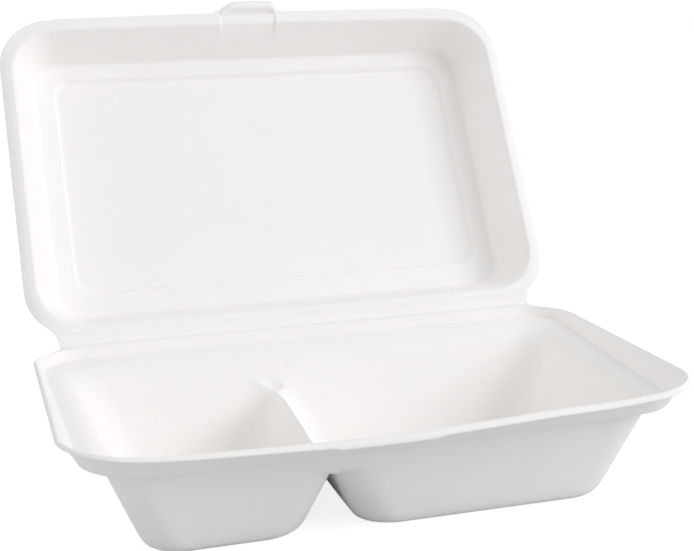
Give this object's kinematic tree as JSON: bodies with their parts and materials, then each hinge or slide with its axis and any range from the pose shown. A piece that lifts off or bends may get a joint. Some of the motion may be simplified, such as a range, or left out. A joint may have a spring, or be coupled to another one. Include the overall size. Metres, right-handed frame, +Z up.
{
  "type": "bagasse clamshell container",
  "caption": "Hinged takeaway box of moulded sugar-cane pulp: a shallow tray with a low divider, and a raised lid on a fold at the back whose front tab tucks into a slit in the lip.",
  "frame": {"origin": "on the surface it stands on, under the middle of the base, on the flat foot of the larger compartment", "axes": "+X along the fold towards the larger compartment, +Y from the front lip to the fold, +Z up"},
  "size_m": [0.248, 0.2782, 0.1997],
  "materials": {
    "pulp": "matte moulded pulp, warm white"
  },
  "bodies": {
    "base": {"base": "pulp"},
    "lid": {"lid": "pulp"}
  },
  "joints": [
    {"name": "lid_hinge", "type": "hinge", "parent": "base", "child": "lid", "pos_m": [0, 0.0842, 0.05215], "axis": [-1, 0, 0], "range_deg": [-121.5, 58.5]}
  ]
}
